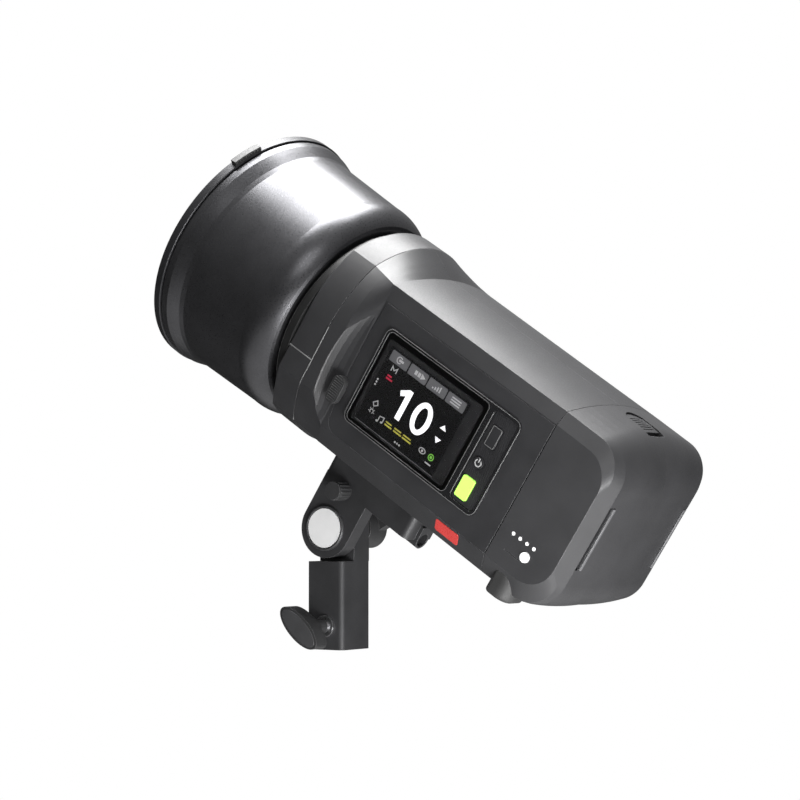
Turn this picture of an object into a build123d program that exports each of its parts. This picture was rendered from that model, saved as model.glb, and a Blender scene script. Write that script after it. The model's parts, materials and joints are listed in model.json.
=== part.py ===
from build123d import *
import os
from math import cos, radians, sin, sqrt

# A battery monolight strobe on its tilting stand bracket.
# Row frame: origin in the mouth of the stand socket's bore, +Z up along the bore, the tilt axis along Y.
# Head frame: u runs rearward along the lamp axis, v towards the far side, w up; u = 0 is above the pivot.
# Lengths are millimetres.

# ---------- driving dimensions ----------
TILT = 33.4                # rest tilt of the head, nose up, degrees
PIVOT_Z = 67.0             # tilt axis above the socket's mouth
AXIS_W = 99.5              # lamp axis above the tilt axis, in the head frame

LIP_FRONT = -54.0          # front of the metal mount ring
COLLAR_FRONT = -48.7
COLLAR_BACK = -30.7        # seam between the front collar and the main shells
SEAM_U = 113.2             # seam between the main shells and the battery
GAP = 0.3                  # clearance between neighbouring covers

HALF_W = 51.5              # side panel to lamp axis
COLLAR_R = 62.1              # the collar's top and bottom, from the lamp axis
COLLAR_HALF = 56.6         # its flattened sides
BODY_TOP = 53.2
TOP_SLOPE = 0.0195         # the top falls this much per millimetre rearward
CREASE_V = 49.7            # crease between the crowned top and the upper side, at u = 0
CREASE_W = 46.1
CREASE_NARROWS = 0.0145    # per millimetre rearward
CREASE_FALLS = 0.0095
PANEL_TOP = 37.2
PANEL_BOTTOM = -40.0
CHAMFER_V = 45.6           # lower corners
CHAMFER_W = -50.3
BODY_BOTTOM = -53.5        # the slightly bowed bottom, under the lamp axis
FLARE_END = -11.5          # the top's shoulder fades out here
BULGE_FULL = -21.0         # the sides keep their bulge up to here
BULGE_END = -10.0          # and lose it by here
CAVITY_HALF = 48.6         # the shells' inner side walls

BATTERY_REAR = 158.3
BEVEL_V = 41.5             # inner edge of the battery's side bevel

RIM_FRONT = -140.3
RIM_R = 73.3
BOWL_WALL = 1.6

PLATE_V = HALF_W           # outer face of the side panels
PANEL_T = 1.5

SPIGOT_R = 8.1             # stand socket bore, for a 16 mm spigot
SOCKET_X = 11.6
SOCKET_Y = 13.5
EAR_R = 16.5
EAR_IN = -4.0              # inner face of the head bracket's ear
TONGUE_IN = -2.6           # the stand's tongue starts here, a friction disc fills the step
BOLT_R = 4.0
UMBRELLA_R = 4.1           # bore for an 8 mm umbrella shaft
UMBRELLA_W = -74.6

HEAD = Pos(0, 0, PIVOT_Z) * Rot(0, TILT, 0) * Pos(0, 0, AXIS_W)
PIVOT = Pos(0, 0, PIVOT_Z)

os.makedirs("parts", exist_ok=True)


def save(name, shape, place=HEAD):
    """Write one node, moved from its own frame into the row frame."""
    solids = shape.solids()
    moved = [place * solid for solid in solids]
    export_step(moved[0] if len(moved) == 1 else Compound(children=moved), f"parts/{name}.step")


def fade(value, start, end):
    """0 at start, 1 at end, held outside."""
    return max(0.0, min(1.0, (value - start) / (end - start)))


def mix(a, b, t):
    return a + (b - a) * t


def bulged(a, b, sag):
    """Arc from a to b in a plane of constant u, its middle pushed away from the lamp axis by sag."""
    middle = (a + b) * 0.5
    outward = Vector(0, middle.Y, middle.Z).normalized()
    return ThreePointArc(a, middle + outward * sag, b)


def rod(radius, length, at, axis):
    """Cylinder that starts at a point and runs along axis."""
    return Solid.make_cylinder(radius, length, Plane(origin=at, z_dir=axis))


def turned(points, closed=True):
    """Solid of revolution about the lamp axis from (u, radius) points."""
    line = Polyline(*[(u, 0, r) for u, r in points], close=closed)
    return revolve(make_face(line), Axis.X, 360)


def block(u0, u1, v0, v1, w0, w1):
    return Pos((u0 + u1) / 2, (v0 + v1) / 2, (w0 + w1) / 2) * Box(u1 - u0, v1 - v0, w1 - w0)


def side_plate(u0, u1, w0, w1, radius, v0, v1):
    """Plate with round corners that lies in a side plane, from v0 to v1."""
    plane = Plane(origin=((u0 + u1) / 2, v1, (w0 + w1) / 2), x_dir=(1, 0, 0), z_dir=(0, -1, 0))
    return extrude(plane * RectangleRounded(u1 - u0, w1 - w0, radius), v1 - v0)


# ---------- main shells ----------
def crease(u):
    return CREASE_V - CREASE_NARROWS * u, CREASE_W - CREASE_FALLS * u


def body_section(u, scale_v=1.0, scale_w=1.0):
    """Closed outline of the main body at one station."""
    flare = fade(u, FLARE_END, COLLAR_BACK)
    bulge = fade(u, BULGE_END, BULGE_FULL)
    side = mix(HALF_W, COLLAR_HALF, bulge)
    crease_v, crease_w = crease(u)
    half = [
        (mix(crease_v, 43.5, flare), mix(crease_w, 46.8, flare)),
        (side - 0.3, mix(PANEL_TOP, 9.0, bulge)),
        (side, mix(PANEL_BOTTOM, -26.0, bulge)),
        (CHAMFER_V, mix(CHAMFER_W, -49.5, bulge)),
    ]
    far = [Vector(u, v * scale_v, w * scale_w) for v, w in half]
    near = [Vector(u, -p.Y, p.Z) for p in far]
    top = mix(BODY_TOP - TOP_SLOPE * u, COLLAR_R, flare)
    bottom = mix(BODY_BOTTOM, -COLLAR_R - 0.4, flare)
    shoulder = mix(0.05, 3.1, bulge)
    heel = mix(0.05, 0.8, bulge)
    return Wire([
        ThreePointArc(near[0], Vector(u, 0, top * scale_w), far[0]),
        bulged(far[0], far[1], shoulder),
        Line(far[1], far[2]),
        bulged(far[2], far[3], heel),
        ThreePointArc(far[3], Vector(u, 0, bottom * scale_w), near[3]),
        bulged(near[3], near[2], heel),
        Line(near[2], near[1]),
        bulged(near[1], near[0], shoulder),
    ])


def body_loft(stations, scale_v=1.0, scale_w=1.0):
    return Solid.make_loft([body_section(u, scale_v, scale_w) for u in stations], ruled=True)


def side_outline(front_top, front_middle, front_bottom, bottom, top, rear, v):
    """Outline in a side plane with an arched front edge and a round lower front corner."""
    corner = Vector(front_bottom + 8.0, v, bottom)
    start = Vector(front_bottom, v, -31.6)
    upper = Vector(front_top, v, top)
    return Wire([
        ThreePointArc(upper, Vector(front_middle, v, -4.1), start),
        ThreePointArc(start, Vector(front_bottom + 2.3, v, bottom + 2.3), corner),
        Line(corner, Vector(rear, v, bottom)),
        Line(Vector(rear, v, bottom), Vector(rear, v, top)),
        Line(Vector(rear, v, top), upper),
    ])


RAMP_R = 18.7              # hollow radius of the crescent ramp behind the collar
RECESS_TOP = 38.2


def side_recess(side):
    """Cut that leaves the flat side, with a hollow crescent ramp up to the bulge behind the collar."""
    outlines = []
    for angle in (0, 10, 20, 30, 40, 48):
        run = RAMP_R * sin(radians(angle))
        rise = RAMP_R * (1 - cos(radians(angle)))
        outlines.append(side_outline(-8.8 - 0.1 * run, -10.2 - run, -8.2 - 0.83 * run,
                                     PANEL_BOTTOM - 0.4 * run, RECESS_TOP, SEAM_U + 20, -(HALF_W + rise)))
    cut = Solid.make_loft(outlines, ruled=True)
    return cut if side < 0 else mirror(cut, Plane.XZ)


def panel(side, grow=0.0):
    """Thin side panel that sits in the shell's seat."""
    outline = side_outline(-8.0 - grow, -9.5 - grow, -7.4 - grow, PANEL_BOTTOM + 0.4 - grow,
                           PANEL_TOP - 0.6 + grow, SEAM_U - GAP + 30 * grow, -(PLATE_V + 3 * grow))
    plate = extrude(make_face(outline), PANEL_T + 3 * grow, dir=(0, 1, 0))
    return plate if side < 0 else mirror(plate, Plane.XZ)


outer = body_loft([COLLAR_BACK, BULGE_FULL, -16.2, FLARE_END, BULGE_END, SEAM_U])
inner = body_loft([COLLAR_BACK, BULGE_FULL, FLARE_END, BULGE_END, SEAM_U], 0.93, 0.952)
inner = inner & block(-80, 200, -CAVITY_HALF, CAVITY_HALF, -90, 90)
front_bulkhead = block(COLLAR_BACK, COLLAR_BACK + 3, -60, 60, -70, 70) - rod(44, 20, (-40, 0, 0), (1, 0, 0))
shell = outer - (inner - front_bulkhead)
for side in (-1, 1):
    shell -= side_recess(side)
    shell -= panel(side, 0.1)

# screw places
PANEL_SCREWS = [(-2.0, 28.0), (0.0, -34.0), (102.0, 30.0), (102.0, -33.0)]
BRACKET_SCREWS = [(u, v) for u in (-9.0, 38.0) for v in (-8.5, 8.5)]

# display side layout, on the near panel
BEZEL = (0.2, 97.7, -29.0, 27.5)
GLASS = (2.3, 75.9, -27.2, 25.7)
LCD = (7.1, 64.7, -24.2, 19.2)
KEY_ZONE = (79.8, 96.1, -26.6, 25.2)
GREEN_KEY = (81.8, 89.5, -24.0, -12.0)
SQUARE_KEY = (82.8, 89.4, 6.7, 18.3)
POWER_AT = (85.7, -3.0)
POWER_R = 3.1
KEY_FACE = PLATE_V + 1.5
BEZEL_FACE = PLATE_V + 1.2

window_cut = side_plate(LCD[0] - 3, GLASS[1] - 3, LCD[2] - 1.5, LCD[3] + 3, 2, -60, -30)
key_cuts = side_plate(KEY_ZONE[0], KEY_ZONE[1], KEY_ZONE[2], KEY_ZONE[3], 2, -60, -30)
shell -= window_cut + key_cuts

# bayonet release opening
RELEASE_U, RELEASE_W = -8.6, -17.2
RELEASE_TRAVEL = 4.0
release_slot = side_plate(RELEASE_U - 3 - RELEASE_TRAVEL, RELEASE_U + 3, RELEASE_W - 4, RELEASE_W + 4, 2.9,
                          -60, -36)
shell -= release_slot

# sensor window on the near bottom chamfer
SENSOR = (78.6, 95.2)
chamfer_n = Vector(0, CHAMFER_W - PANEL_BOTTOM, CHAMFER_V - HALF_W).normalized()
SENSOR_LONG = SENSOR[1] - SENSOR[0]
SENSOR_WIDE = 7.6
chamfer_mid = Vector(sum(SENSOR) / 2, -mix(HALF_W, CHAMFER_V, 0.4), mix(PANEL_BOTTOM, CHAMFER_W, 0.4))
sensor_plane = Plane(origin=chamfer_mid + chamfer_n * 0.15, x_dir=(1, 0, 0), z_dir=chamfer_n)
sensor_seat = extrude(sensor_plane * RectangleRounded(SENSOR_LONG, SENSOR_WIDE, 1.5), -1.9)
sensor_hole = extrude(sensor_plane * RectangleRounded(SENSOR_LONG - 4, SENSOR_WIDE - 3, 1.2), -9)
shell -= sensor_seat + sensor_hole

# vent slots and the socket door's opening, on the far side
VENT_U = [40 + 6 * k for k in range(8)]
vents = [side_plate(u, u + 2.6, -22, 22, 1.2, -60, -30) for u in VENT_U]
DOOR = (-2.0, 24.0, -30.0, 6.0)
DOOR_T = 1.1
door_opening = mirror(side_plate(DOOR[0] + 2, DOOR[1] - 2, DOOR[2] + 2, DOOR[3] - 2, 2, -60, -30), Plane.XZ)
door_seat = mirror(side_plate(DOOR[0] - 0.3, DOOR[1] + 0.3, DOOR[2] - 0.3, DOOR[3] + 0.3, 3.3, -60,
                              -(PLATE_V - DOOR_T - 0.1)), Plane.XZ)
for vent in vents:
    shell -= mirror(vent, Plane.XZ)
shell -= door_opening

for u, w in PANEL_SCREWS:
    shell -= rod(1.35, 14, (u, PLATE_V + 1, w), (0, -1, 0))
for u, v in BRACKET_SCREWS:
    shell -= rod(2.1, 12, (u, v, BODY_BOTTOM - 4), (0, 0, 1))

half_space = block(-80, 180, 0.08, 90, -90, 90)
save("shell_right", shell & half_space)
save("shell_left", shell & mirror(half_space, Plane.XZ))

# ---------- side panels ----------
save("side_panel_left", panel(-1) - window_cut - key_cuts - release_slot)

panel_right = panel(1) - door_opening - door_seat
for vent in vents:
    panel_right -= mirror(vent, Plane.XZ)
for u, w in PANEL_SCREWS:
    panel_right -= rod(1.7, 9, (u, PLATE_V + 5, w), (0, -1, 0))
    panel_right -= rod(2.9, 5.7, (u, PLATE_V + 5, w), (0, -1, 0))
save("side_panel_right", panel_right)

screws = [rod(1.3, 8, (u, PLATE_V - 0.7, w), (0, -1, 0)) + rod(2.7, 0.7, (u, PLATE_V, w), (0, -1, 0))
          for u, w in PANEL_SCREWS]
save("panel_screws", Compound(children=screws))

# ---------- display ----------
bezel = side_plate(*BEZEL, 4.5, -BEZEL_FACE, -PLATE_V)
bezel -= side_plate(*GLASS, 3, -60, -30) + side_plate(*KEY_ZONE, 2.5, -60, -30)
save("display_bezel", bezel)
save("display_glass", side_plate(GLASS[0] + 0.2, GLASS[1] - 0.2, GLASS[2] + 0.2, GLASS[3] - 0.2, 2.8,
                                 -(BEZEL_FACE - 0.25), -PLATE_V))
save("lcd_module", side_plate(LCD[0] - 2.4, LCD[1] + 4, LCD[2] - 1.2, LCD[3] + 2.4, 1, -PLATE_V + 0.05,
                              -PLATE_V + 2.6))

key_plate = side_plate(KEY_ZONE[0] + 0.2, KEY_ZONE[1] - 0.2, KEY_ZONE[2] + 0.2, KEY_ZONE[3] - 0.2, 2.3,
                       -(PLATE_V + 0.6), -(PLATE_V - 1.2))
KEY_CLEAR = 0.25


def key_box(rect, grow, v0, v1, radius=1.0):
    return side_plate(rect[0] - grow, rect[1] + grow, rect[2] - grow, rect[3] + grow, radius + grow, v0, v1)


for rect in (GREEN_KEY, SQUARE_KEY):
    key_plate -= key_box(rect, KEY_CLEAR, -60, -30)
key_plate -= rod(POWER_R + KEY_CLEAR, 30, (POWER_AT[0], -60, POWER_AT[1]), (0, 1, 0))
save("key_plate", key_plate)

KEY_BACK = -(PLATE_V - 2.4)
save("green_key", key_box(GREEN_KEY, 0, -KEY_FACE, KEY_BACK))
save("square_key", key_box(SQUARE_KEY, 0, -(PLATE_V + 1.1), KEY_BACK))
save("power_button", rod(POWER_R, KEY_FACE + KEY_BACK, (POWER_AT[0], -KEY_FACE, POWER_AT[1]), (0, 1, 0)))

board_at = -(PLATE_V - 4.5)
save("main_board", side_plate(4, 100, -30, 24, 1, board_at, board_at + 1.6))
sensor_outline = sensor_plane * RectangleRounded(SENSOR_LONG - 0.2, SENSOR_WIDE - 0.2, 1.4)
save("sensor_window", extrude(sensor_outline, -1.8))

# ---------- bayonet release ----------
RELEASE_BASE = PLATE_V + 2.6
knob = side_plate(RELEASE_U - 4, RELEASE_U + 4, RELEASE_W - 8, RELEASE_W + 8, 3.95, -(PLATE_V + 6.0),
                  -RELEASE_BASE)
stem = side_plate(RELEASE_U - 2.7, RELEASE_U + 2.7, RELEASE_W - 3.6, RELEASE_W + 3.6, 2.6, -RELEASE_BASE,
                  -(PLATE_V - 4.0))
save("release_slider", knob + stem)

# ---------- front collar ----------
full = body_section(COLLAR_BACK)
collar = Solid.make_loft([Pos(-GAP, 0, 0) * full,
                          Pos(COLLAR_FRONT + 1.0 - COLLAR_BACK, 0, 0) * full,
                          Pos(COLLAR_FRONT - COLLAR_BACK, 0, 0) * body_section(COLLAR_BACK, 0.984, 0.984)],
                         ruled=True)
collar -= rod(51.2, 40, (-60, 0, 0), (1, 0, 0))
SPLIT_W = -12.5
upper_space = block(-70, 0, -80, 80, SPLIT_W + 0.15, 80)
lower_space = block(-70, 0, -80, 80, -80, SPLIT_W - 0.15)
save("collar_upper", collar & upper_space)
save("collar_lower", collar & lower_space)

# metal mount ring, the flange that holds the reflector's bayonet
mount_ring = turned([(LIP_FRONT, 51.0), (LIP_FRONT, 57.4), (LIP_FRONT + 0.8, 58.1), (COLLAR_FRONT, 58.1),
                     (COLLAR_FRONT, 51.0), (-36, 51.0), (-36, 49.0), (LIP_FRONT, 49.0)])
save("mount_ring", mount_ring)

# ---------- lamp unit ----------
lamp_plate = turned([(-36, 0.0), (-36, 50.8), (-34, 50.8), (-34, 0.0)])
save("lamp_plate", lamp_plate)

led_board = rod(11, 1.6, (-45.7, 0, 0), (1, 0, 0))
led_chip = rod(7.0, 1.0, (-46.75, 0, 0), (1, 0, 0))
save("led_board", led_board)
save("led_chip", led_chip)

# a ring tube whose two ends turn back into the socket
TUBE_RING = 22.0
TUBE_R = 3.2
TUBE_U = -58.0
LEG_W = 8.0
LEG_V = -sqrt(TUBE_RING ** 2 - LEG_W ** 2)
flash_tube = Solid.make_torus(TUBE_RING, TUBE_R, Plane(origin=(TUBE_U, 0, 0), z_dir=(-1, 0, 0)))
flash_tube -= block(TUBE_U - 12, TUBE_U + 8, -TUBE_RING - 8, 0, -LEG_W + 0.6, LEG_W - 0.6)
socket = turned([(-44, 0.0), (-44, 33), (-36.05, 33), (-36.05, 0.0)])
for w in (-LEG_W, LEG_W):
    flash_tube += rod(TUBE_R, 20, (TUBE_U, LEG_V, w), (1, 0, 0))
    socket -= rod(TUBE_R + 0.1, 22, (TUBE_U, LEG_V, w), (1, 0, 0))
save("tube_socket", socket)
save("flash_tube", flash_tube)

dome_outer = [(-44.1, 38.0), (-66, 38.0), (-74, 35.5), (-81, 30), (-86, 22), (-88.5, 12), (-89.2, 0.0)]
dome_inner = [(-87.0, 0.0), (-86.3, 11.4), (-84, 20.8), (-79.4, 28.4), (-72.8, 33.4), (-65.6, 35.6),
              (-44.1, 35.6)]
save("glass_dome", turned(dome_outer + dome_inner))
dome_seat = turned([(-44.0, 34.0), (-44.0, 42.0), (-36.05, 42.0), (-36.05, 34.0)])
save("dome_holder", dome_seat)

# ---------- reflector ----------
BOWL_REAR = -56.4
NECK_R = 59.2
bowl_line = Polyline((-42, 0, 47.0), (-42, 0, 48.5), (BOWL_REAR, 0, 48.5), (BOWL_REAR, 0, NECK_R),
                     (-57.2, 0, 61.0))
bowl_line += ThreePointArc((-57.2, 0, 61.0), (-65.0, 0, 65.9), (-74.4, 0, 67.15))
bowl_line += Polyline((-74.4, 0, 67.15), (-119.5, 0, 69.0), (-122.5, 0, 69.6), (-127, 0, 71.2),
                      (-130, 0, 72.2), (-134, 0, 72.4), (-134, 0, 70.4), (-126, 0, 69.6),
                      (-120, 0, 67.4), (-76, 0, 65.5))
bowl_line += ThreePointArc((-76, 0, 65.5), (-66.3, 0, 64.3), (-59.0, 0, 59.8))
bowl_line += Polyline((-59.0, 0, 59.8), (BOWL_REAR - BOWL_WALL, 0, 58.4), (BOWL_REAR - BOWL_WALL, 0, 47.0),
                      (-42, 0, 47.0))
save("reflector_bowl", revolve(make_face(bowl_line), Axis.X, 360))

rim_ring = turned([(RIM_FRONT, 70.2), (RIM_FRONT, 72.7), (RIM_FRONT + 0.6, RIM_R), (-135.3, RIM_R),
                   (-135.1, 73.0), (-135.1, 71.3), (-134.4, 71.3), (-134.4, 70.2)])
save("rim_ring", rim_ring)
tab_angle = 40.7
tab = turned([(RIM_FRONT + 1.2, RIM_R + 0.02), (RIM_FRONT + 0.6, 75.4), (-136.0, 75.8), (-135.4, 75.4),
              (-135.4, RIM_R + 0.02)])
wedge = block(-150, -120, -9.25, 9.25, 60, 90)
save("rim_ring_tab", Rot(tab_angle, 0, 0) * (tab & wedge))

# ---------- inside the body ----------
chassis = block(-20, 100, -28, 28, -48.6, -46.6)
for u, v in BRACKET_SCREWS:
    chassis -= rod(2.1, 12, (u, v, BODY_BOTTOM + 1), (0, 0, 1))
save("chassis", chassis)
cans = [rod(13.5, 60, (-20, v, w), (1, 0, 0)) for v in (-14.2, 14.2) for w in (-31, 2)]
save("capacitors", Compound(children=cans))
save("power_board", block(52, 100, -30, 28, -20, -18.4))
inductors = [rod(9, 14, (64 + 24 * i, 8, -18.3), (0, 0, 1)) for i in (0, 1)]
save("transformers", Compound(children=inductors))

# side fan behind the vents
FAN_U = 62.0
FAN_V = 35.0
BLADES = 7
fan_frame = block(FAN_U - 22, FAN_U + 22, FAN_V, FAN_V + 10, -22, 22)
fan_frame -= rod(20.0, 30, (FAN_U, 26, 0), (0, 1, 0))
fan_frame += rod(3.0, 2.0, (FAN_U, FAN_V + 8, 0), (0, 1, 0))
fan_frame += block(FAN_U - 22, FAN_U + 22, FAN_V + 8.6, FAN_V + 10, -1.5, 1.5)
save("fan_frame", fan_frame)
rotor = rod(8.0, 7.0, (FAN_U, FAN_V + 0.5, 0), (0, 1, 0))
for k in range(BLADES):
    blade = Pos(13.2, 0, 0) * Rot(35, 0, 0) * Box(11.4, 1.0, 8.4)
    rotor += Pos(FAN_U, FAN_V + 4, 0) * Rot(0, k * 360 / BLADES, 0) * blade
save("fan_rotor", rotor & rod(19.2, 7.4, (FAN_U, FAN_V + 0.3, 0), (0, 1, 0)))

save("battery_dock", block(106.0, 109.0, -40, 40, -42, 40))

# ---------- sockets and their door ----------
PORT_V = 47.4
jack = rod(4.0, 12, (11, PORT_V, -8), (0, -1, 0)) - rod(1.8, 11, (11, PORT_V + 1, -8), (0, -1, 0))
usb = block(6.5, 15.5, PORT_V - 8, PORT_V, -22.6, -19.4)
usb -= block(7.3, 14.7, PORT_V - 7, PORT_V + 1, -21.9, -20.1)
save("sync_jack", jack)
save("usb_socket", usb)
door = mirror(side_plate(*DOOR, 3, -PLATE_V, -(PLATE_V - DOOR_T)), Plane.XZ)
save("port_door", door)

# ---------- battery ----------
SEAM_CREASE_V, SEAM_CREASE_W = crease(SEAM_U)
CROWN_DROP = BODY_TOP - TOP_SLOPE * SEAM_U - SEAM_CREASE_W
CROWN_R = (SEAM_CREASE_V ** 2 + CROWN_DROP ** 2) / (2 * CROWN_DROP)
STEP = 0.6                 # the battery's top lies this much below the shells'
SIDE_FALL = (SEAM_CREASE_W - PANEL_TOP) / (HALF_W - SEAM_CREASE_V)
CHAMFER_RISE = (PANEL_BOTTOM - CHAMFER_W) / (HALF_W - CHAMFER_V)


def battery_section(v, inset=0.0, front=SEAM_U + GAP):
    """Side-view outline of the battery in the plane at v."""
    away = abs(v)
    reach = min(1.0, away / BEVEL_V)
    past = max(0.0, away - BEVEL_V)
    rear = BATTERY_REAR - 1.8 * reach ** 2 - past * 0.5
    crown = SEAM_CREASE_W + CROWN_DROP - (CROWN_R - sqrt(CROWN_R ** 2 - min(away, SEAM_CREASE_V) ** 2))
    top = crown - STEP - max(0.0, away - SEAM_CREASE_V) * SIDE_FALL
    bottom = mix(BODY_BOTTOM, CHAMFER_W, min(1.0, away / CHAMFER_V) ** 2)
    bottom += max(0.0, away - CHAMFER_V) * CHAMFER_RISE
    rear, top, bottom = rear - inset, top - inset, bottom + inset
    shrink = past * 0.4 + inset
    high = mix(28.0, 20.0, reach) - shrink
    low = mix(24.5, 20.0, reach) - shrink
    high_bite = high * (1 - sqrt(0.5))
    low_bite = low * (1 - sqrt(0.5))
    points = [Vector(front, v, top + STEP), Vector(rear - high, v, top),
              Vector(rear - high_bite, v, top - high_bite), Vector(rear, v, top - high),
              Vector(rear, v, bottom + low), Vector(rear - low_bite, v, bottom + low_bite),
              Vector(rear - low, v, bottom), Vector(front, v, bottom)]
    return Wire([
        Line(points[0], points[1]),
        ThreePointArc(points[1], points[2], points[3]),
        Line(points[3], points[4]),
        ThreePointArc(points[4], points[5], points[6]),
        Line(points[6], points[7]),
        Line(points[7], points[0]),
    ])


half_stations = [HALF_W, SEAM_CREASE_V, CHAMFER_V, BEVEL_V, 35, 28, 21, 14, 7]
stations = [-v for v in half_stations] + [0.0] + half_stations[::-1]
battery_outer = Solid.make_loft([battery_section(v) for v in stations], ruled=True)
inner_half = [48, 42, 36, 24, 12]
inner_stations = [-v for v in inner_half] + [0.0] + inner_half[::-1]
hollow = Solid.make_loft([battery_section(v, 3.0, SEAM_U - 1) for v in inner_stations], ruled=True)
battery = battery_outer - hollow

# finger slots behind the side bevels
slot = Pos(156.9, -40.0, -2.3) * Rot(0, 0, 82) * Box(2.8, 5.0, 37.0)
battery -= slot + mirror(slot, Plane.XZ)

# release latch on top, in a pocket with room behind it
LATCH_FRONT, LATCH_REAR, LATCH_HALF = 119.4, 139.8, 8.2
LATCH_TRAVEL = 3.0
LATCH_FLOOR = 45.8


def latch_outline(front, rear, half, corner):
    """Plan of the latch: a round front and a straight back."""
    return make_face(Polyline((front + corner, -half), (rear, -half), (rear, half), (front + corner, half))
                     + ThreePointArc((front + corner, half), (front, 0), (front + corner, -half)))


battery += block(LATCH_FRONT - 2, LATCH_REAR + 2, -LATCH_HALF - 2, LATCH_HALF + 2, LATCH_FLOOR - 2, 47.6)
battery -= Pos(0, 0, LATCH_FLOOR) * extrude(latch_outline(LATCH_FRONT, LATCH_REAR, LATCH_HALF, 5.0), 20)
latch = Pos(0, 0, LATCH_FLOOR + 0.3) * extrude(
    latch_outline(LATCH_FRONT + 0.35, LATCH_REAR - LATCH_TRAVEL - 0.4, LATCH_HALF - 0.35, 4.8), 3.75)
latch -= Pos(LATCH_REAR, 0, 52.7) * Rot(0, 7, 0) * Box(30, 40, 8.0)
for k in range(6):
    latch -= Pos(124.5 + 1.9 * k, 0, 49.8 - 0.2 * k) * Box(0.7, 11, 1.4)
save("battery_latch", latch)

# gauge lights and button on the near side
LED_U = [122.0 + 4.7 * k for k in range(4)]
LED_W = -21.7
GAUGE_AT = (134.0, -28.1)
GAUGE_R = 2.7
leds = []
for u in LED_U:
    battery -= rod(1.05, 8, (u, -HALF_W - 2, LED_W), (0, 1, 0))
    leds.append(rod(1.0, 4.2, (u, -HALF_W - 0.05, LED_W), (0, 1, 0)))
save("gauge_lights", Compound(children=leds))
battery -= rod(GAUGE_R + 0.25, 8, (GAUGE_AT[0], -HALF_W - 2, GAUGE_AT[1]), (0, 1, 0))
save("gauge_button", rod(GAUGE_R, 4.6, (GAUGE_AT[0], -HALF_W - 0.6, GAUGE_AT[1]), (0, 1, 0)))
battery -= block(121.8, 132.1, -HALF_W - 1, -HALF_W + 0.35, -31.5, -31.0)
save("battery_case", battery)

lid_core = Solid.make_loft([battery_section(v, 3.2, SEAM_U + 1.0) for v in inner_stations], ruled=True)
save("battery_lid", lid_core & block(SEAM_U + 1.0, SEAM_U + 3.4, -60, 60, -70, 70))
cells = [rod(9.1, 65, (126.0 + 18.3 * j, -27.9 + 18.6 * i, -43 + 7 * j), (0, 0, 1))
         for i in range(4) for j in range(2 if abs(-27.9 + 18.6 * i) < 20 else 1)]
save("battery_cells", Compound(children=cells))
save("battery_board", block(118, 148, -30, 30, 31, 32.6))
contacts = [block(SEAM_U - 3.4, SEAM_U + 1.0, v - 4, v + 4, -30, -28.8) for v in (-15, 0, 15)]
save("battery_contacts", Compound(children=contacts))


def foot(side):
    """Rubber pad on a lower corner, with a large round corner towards the back."""
    u0, u1, inner_v, outer_v, low = 121.5, 136.0, 34.0, 50.0, -56.0
    pad = block(u0, u1, inner_v, outer_v, low, -40)
    if side < 0:
        pad = mirror(pad, Plane.XZ)
    upright = pad.edges().filter_by(Axis.Z).sort_by(lambda e: e.center().X * 10 + side * e.center().Y)
    pad = fillet(upright[-1], 8.0)
    upright = pad.edges().filter_by(Axis.Z).filter_by(lambda e: e.center().X < u0 + 1)
    pad = fillet(upright, 2.5)
    pad = fillet(pad.faces().sort_by(Axis.Z)[0].edges(), 2.2)
    return pad - battery_outer


save("battery_feet", Compound(children=[foot(-1), foot(1)]))

# ---------- head bracket ----------
# Its outline is drawn above the pivot, in the head's directions.
RAIL_BOTTOM = 24.0
rail_top = AXIS_W + BODY_BOTTOM + 1.0
ear = rod(EAR_R, EAR_IN + SOCKET_Y, (0, -SOCKET_Y, 0), (0, 1, 0))
ear += block(-EAR_R, EAR_R, -SOCKET_Y, EAR_IN, 0, 28)
rail = block(-18, 47.8, -SOCKET_Y, SOCKET_Y, RAIL_BOTTOM, rail_top)
rail = fillet(rail.edges().filter_by(Axis.Z), 4.0)
tube_w = AXIS_W + UMBRELLA_W
tube = rod(5.2, 68, (-18, 0, tube_w), (1, 0, 0)) + block(-18, 50, -5.2, 5.2, tube_w, tube_w + 8)
bracket = ear + rail + tube
bracket -= rod(UMBRELLA_R, 90, (-30, 0, tube_w), (1, 0, 0))
bracket -= rod(BOLT_R + 0.05, 20, (0, -SOCKET_Y - 2, 0), (0, 1, 0))
bracket -= rod(10.95, 3.0, (0, -SOCKET_Y - 2, 0), (0, 1, 0))
UMB_SCREW = (0.8, tube_w)
bracket -= rod(2.6, 12, (UMB_SCREW[0], -SOCKET_Y - 1, UMB_SCREW[1]), (0, 1, 0))
for u, v in BRACKET_SCREWS:
    bracket -= rod(2.1, 30, (u, v, 20), (0, 0, 1))
    bracket -= rod(3.8, 12.3, (u, v, 20), (0, 0, 1))
bracket -= Pos(0, 0, AXIS_W) * outer
HEAD_PIVOT = PIVOT * Rot(0, TILT, 0)
save("head_bracket", bracket, HEAD_PIVOT)
bolts = [rod(2.0, 21, (u, v, 32.1), (0, 0, 1)) + rod(3.5, 3.5, (u, v, 28.6), (0, 0, 1))
         for u, v in BRACKET_SCREWS]
save("bracket_screws", Compound(children=bolts), HEAD_PIVOT)

UMB_START = -22.0          # the clamp screw's outer end
save("umbrella_screw", rod(2.5, 17.8, (UMB_SCREW[0], UMB_START, UMB_SCREW[1]), (0, 1, 0)), HEAD_PIVOT)
umbrella_knob = rod(5.0, 11.0, (UMB_SCREW[0], -26.8, UMB_SCREW[1]), (0, 1, 0))
umbrella_knob -= rod(2.53, 12, (UMB_SCREW[0], UMB_START - 0.03, UMB_SCREW[1]), (0, 1, 0))
save("umbrella_knob", umbrella_knob, HEAD_PIVOT)

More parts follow.
